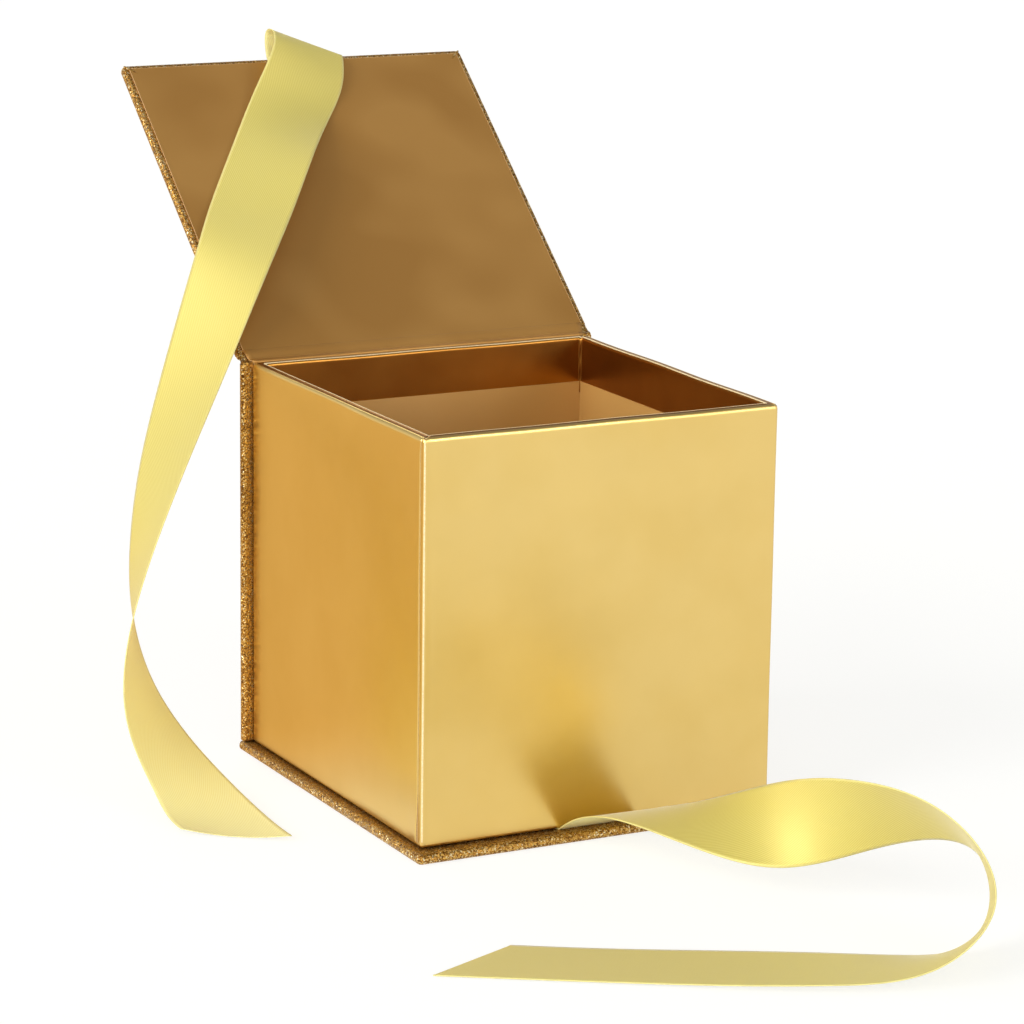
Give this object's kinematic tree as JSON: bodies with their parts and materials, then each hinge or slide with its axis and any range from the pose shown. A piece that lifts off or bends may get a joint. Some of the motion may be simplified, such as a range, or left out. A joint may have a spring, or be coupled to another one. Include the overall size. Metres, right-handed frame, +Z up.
{
  "type": "favor box",
  "caption": "Rigid book-style favor box: foil-papered tray in a glitter-papered case, with a lid on a paper hinge and satin ribbon ties.",
  "frame": {"origin": "on the table, at the middle of the base's underside, below the middle of the tray", "axes": "+X along the front to the right, +Y to the back where the lid is hinged, +Z up"},
  "size_m": [0.1486, 0.3172, 0.1806],
  "materials": {
    "greyboard": "matte",
    "stay_paper": "matte",
    "gold_foil_paper": "satin",
    "matt_gold_paper": "matte",
    "gold_glitter_paper": "satin",
    "satin_ribbon": "satin"
  },
  "bodies": {
    "box": {"tray_base_board": "greyboard", "tray_front_board": "greyboard", "tray_back_board": "greyboard", "tray_left_board": "greyboard", "tray_right_board": "greyboard", "corner_stays": "stay_paper", "tray_wrap": "gold_foil_paper", "tray_wall_lining": "matt_gold_paper", "tray_floor_lining": "matt_gold_paper", "base_board": "greyboard", "back_board": "greyboard", "base_wrap": "gold_glitter_paper", "back_wrap": "gold_glitter_paper", "back_lining": "matt_gold_paper", "hinge_wrap": "gold_glitter_paper", "hinge_lining": "matt_gold_paper", "base_ribbon": "satin_ribbon"},
    "lid": {"lid_board": "greyboard", "lid_wrap": "gold_glitter_paper", "lid_lining": "matt_gold_paper", "lid_ribbon": "satin_ribbon"}
  },
  "joints": [
    {"name": "lid_hinge", "type": "hinge", "parent": "box", "child": "lid", "pos_m": [0, 0.05285, 0.10585], "axis": [1, 0, 0], "range_deg": [-40, 140], "deforming": ["hinge_wrap", "hinge_lining", "lid_ribbon"]}
  ]
}
